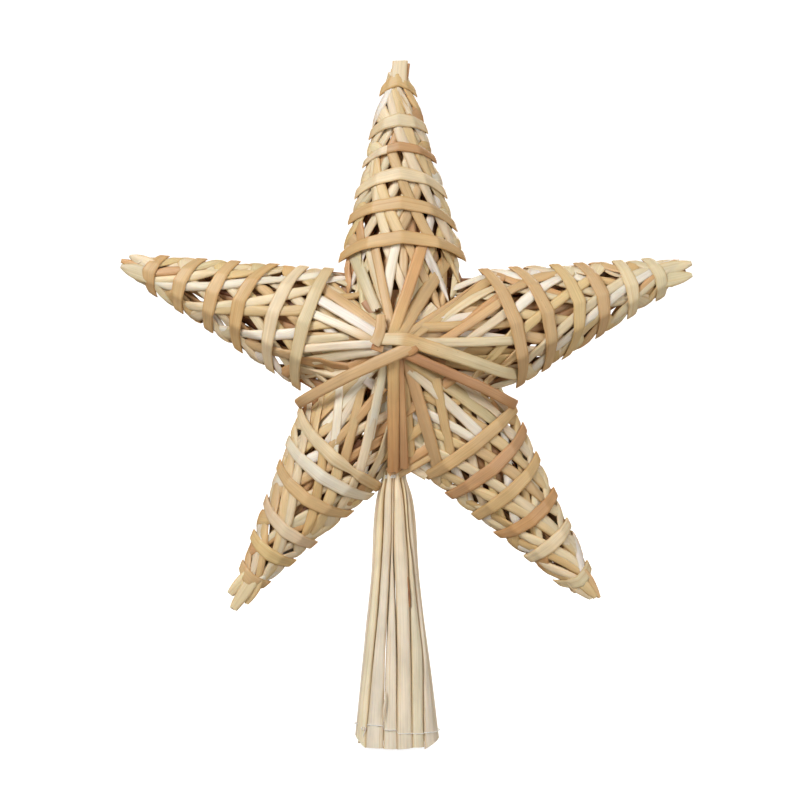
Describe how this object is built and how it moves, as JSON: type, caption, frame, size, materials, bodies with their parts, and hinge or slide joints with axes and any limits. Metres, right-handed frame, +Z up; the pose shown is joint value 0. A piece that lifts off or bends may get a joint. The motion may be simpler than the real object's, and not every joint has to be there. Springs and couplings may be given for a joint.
{
  "type": "straw star ornament",
  "caption": "Five-pointed star for a treetop, woven of flattened straw as an openwork hollow, with a stitched straw skirt that slips over the tree's top shoot.",
  "frame": {"origin": "centre of the skirt's open mouth, where the tree's top shoot goes in", "axes": "+Z up from the skirt's mouth to the star's upper point, -Y out of the star's front face, +X towards the star's right arm seen from the front"},
  "size_m": [0.2328, 0.0466, 0.279],
  "materials": {
    "straw_tan": "dried wheat straw, flattened, satin",
    "straw_pale": "dried wheat straw, pale inner leaf sheath side, satin",
    "straw_brown": "dried wheat straw, darkened, satin",
    "straw_cream": "dried wheat straw, whole stems pressed flat, satin",
    "white_thread": "white cotton sewing thread"
  },
  "bodies": {
    "root": {"arm_top_lattice": "straw_tan", "arm_top_band_1": "straw_tan", "arm_top_band_2": "straw_tan", "arm_top_band_3": "straw_pale", "arm_top_band_4": "straw_brown", "arm_top_band_5": "straw_tan", "arm_top_band_6": "straw_tan", "arm_left_lattice": "straw_tan", "arm_left_band_1": "straw_tan", "arm_left_band_2": "straw_pale", "arm_left_band_3": "straw_tan", "arm_left_band_4": "straw_tan", "arm_left_band_5": "straw_tan", "arm_left_band_6": "straw_tan", "arm_lower_left_lattice": "straw_tan", "arm_lower_left_band_1": "straw_pale", "arm_lower_left_band_2": "straw_pale", "arm_lower_left_band_3": "straw_tan", "arm_lower_left_band_4": "straw_tan", "arm_lower_left_band_5": "straw_tan", "arm_lower_left_band_6": "straw_tan", "arm_lower_right_lattice": "straw_tan", "arm_lower_right_band_1": "straw_tan", "arm_lower_right_band_2": "straw_tan", "arm_lower_right_band_3": "straw_tan", "arm_lower_right_band_4": "straw_tan", "arm_lower_right_band_5": "straw_pale", "arm_lower_right_band_6": "straw_tan", "arm_right_lattice": "straw_tan", "arm_right_band_1": "straw_tan", "arm_right_band_2": "straw_tan", "arm_right_band_3": "straw_tan", "arm_right_band_4": "straw_tan", "arm_right_band_5": "straw_pale", "arm_right_band_6": "straw_pale", "hub_front_straws": "straw_tan", "hub_back_straws": "straw_tan", "hub_knot_strip": "straw_pale", "neck_strap_left": "straw_tan", "neck_strap_right": "straw_brown", "skirt_straw_01": "straw_cream", "skirt_straw_02": "straw_cream", "skirt_straw_03": "straw_cream", "skirt_straw_04": "straw_cream", "skirt_straw_05": "straw_cream", "skirt_straw_06": "straw_cream", "skirt_straw_07": "straw_cream", "skirt_straw_08": "straw_cream", "skirt_straw_09": "straw_cream", "skirt_straw_10": "straw_cream", "skirt_straw_11": "straw_cream", "skirt_straw_12": "straw_cream", "skirt_straw_13": "straw_cream", "skirt_straw_14": "straw_cream", "neck_tie": "white_thread", "hem_thread": "white_thread"}
  },
  "joints": []
}
